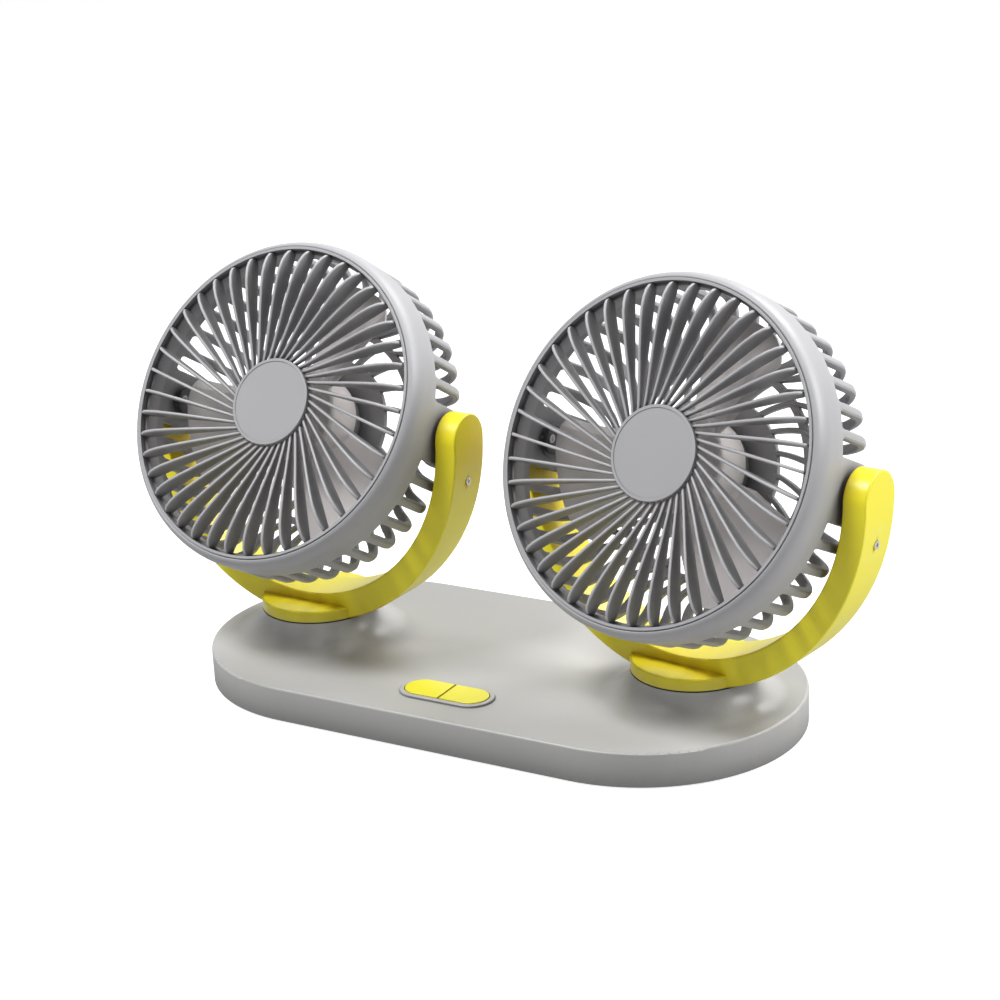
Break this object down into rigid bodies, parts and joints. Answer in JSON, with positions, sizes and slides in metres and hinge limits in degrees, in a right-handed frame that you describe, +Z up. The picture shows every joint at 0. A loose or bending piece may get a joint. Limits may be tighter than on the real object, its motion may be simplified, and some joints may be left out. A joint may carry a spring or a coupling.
{
  "type": "twin head car fan",
  "caption": "Low stadium base with pedestals that carry tilting round fan heads in yellow U-shaped yokes, with pill-shaped push buttons at the front edge",
  "frame": {"origin": "on the table, below the middle of the base", "axes": "+X to the right seen from the front, +Z up, the front faces -Y"},
  "size_m": [0.313, 0.1204, 0.1675],
  "materials": {
    "base_shell": "satin light grey",
    "head_shell": "satin grey",
    "yellow": "satin yellow",
    "blade": "satin pale grey",
    "rubber": "matt black",
    "dark": "matt black",
    "steel": "zinc plated",
    "motor_case": "plain steel",
    "board": "green lacquer"
  },
  "bodies": {
    "base": {"base_cover": "base_shell", "base_housing": "base_shell", "base_screws": "steel", "board_screws": "steel", "button_bezel": "base_shell", "control_board": "board", "left_thrust_washer": "dark", "power_inlet": "dark", "right_thrust_washer": "dark", "rubber_feet": "rubber", "tact_switches": "dark"},
    "button_left": {"button_left": "yellow"},
    "button_right": {"button_right": "yellow"},
    "left_yoke": {"left_yoke": "yellow", "left_swivel_retainer": "dark", "left_retainer_screws": "steel", "left_arm_screws": "steel"},
    "left_head": {"left_front_ring": "head_shell", "left_front_grille": "head_shell", "left_hub_cap": "head_shell", "left_rear_cage": "head_shell", "left_pivot_hubs": "dark", "left_pivot_screws": "steel", "left_motor": "motor_case", "left_motor_screws": "steel", "left_motor_cap": "head_shell"},
    "left_spin": {"left_motor_shaft": "steel", "left_impeller": "blade", "left_impeller_nut": "steel"},
    "right_yoke": {"right_yoke": "yellow", "right_swivel_retainer": "dark", "right_retainer_screws": "steel", "right_arm_screws": "steel"},
    "right_head": {"right_front_ring": "head_shell", "right_front_grille": "head_shell", "right_hub_cap": "head_shell", "right_rear_cage": "head_shell", "right_pivot_hubs": "dark", "right_pivot_screws": "steel", "right_motor": "motor_case", "right_motor_screws": "steel", "right_motor_cap": "head_shell"},
    "right_spin": {"right_motor_shaft": "steel", "right_impeller": "blade", "right_impeller_nut": "steel"}
  },
  "joints": [
    {"name": "left_yaw", "type": "hinge", "parent": "base", "child": "left_yoke", "pos_m": [-0.0815, 0, 0.0234], "axis": [0, 0, 1], "range_deg": [-170, 170]},
    {"name": "left_tilt", "type": "hinge", "parent": "left_yoke", "child": "left_head", "pos_m": [-0.0815, 0, 0.0999], "axis": [-0.9994, 0.0349, 0], "range_deg": [-39.7, 60.3]},
    {"name": "left_fan_spin", "type": "hinge", "parent": "left_head", "child": "left_spin", "pos_m": [-0.0815, 0, 0.0999], "axis": [-0.0303, -0.8681, 0.4955], "continuous": true},
    {"name": "right_yaw", "type": "hinge", "parent": "base", "child": "right_yoke", "pos_m": [0.0815, 0, 0.0234], "axis": [0, 0, 1], "range_deg": [-170, 170]},
    {"name": "right_tilt", "type": "hinge", "parent": "right_yoke", "child": "right_head", "pos_m": [0.0815, 0, 0.0999], "axis": [-0.988, 0.1547, 0], "range_deg": [-34.8, 65.2]},
    {"name": "right_fan_spin", "type": "hinge", "parent": "right_head", "child": "right_spin", "pos_m": [0.0815, 0, 0.0999], "axis": [-0.1404, -0.8968, 0.4195], "continuous": true},
    {"name": "press_left", "type": "slide", "parent": "base", "child": "button_left", "axis": [0, 0, -1], "range_m": [0, 0.0005], "stiffness_N_per_m": 400},
    {"name": "press_right", "type": "slide", "parent": "base", "child": "button_right", "axis": [0, 0, -1], "range_m": [0, 0.0005], "stiffness_N_per_m": 400}
  ]
}
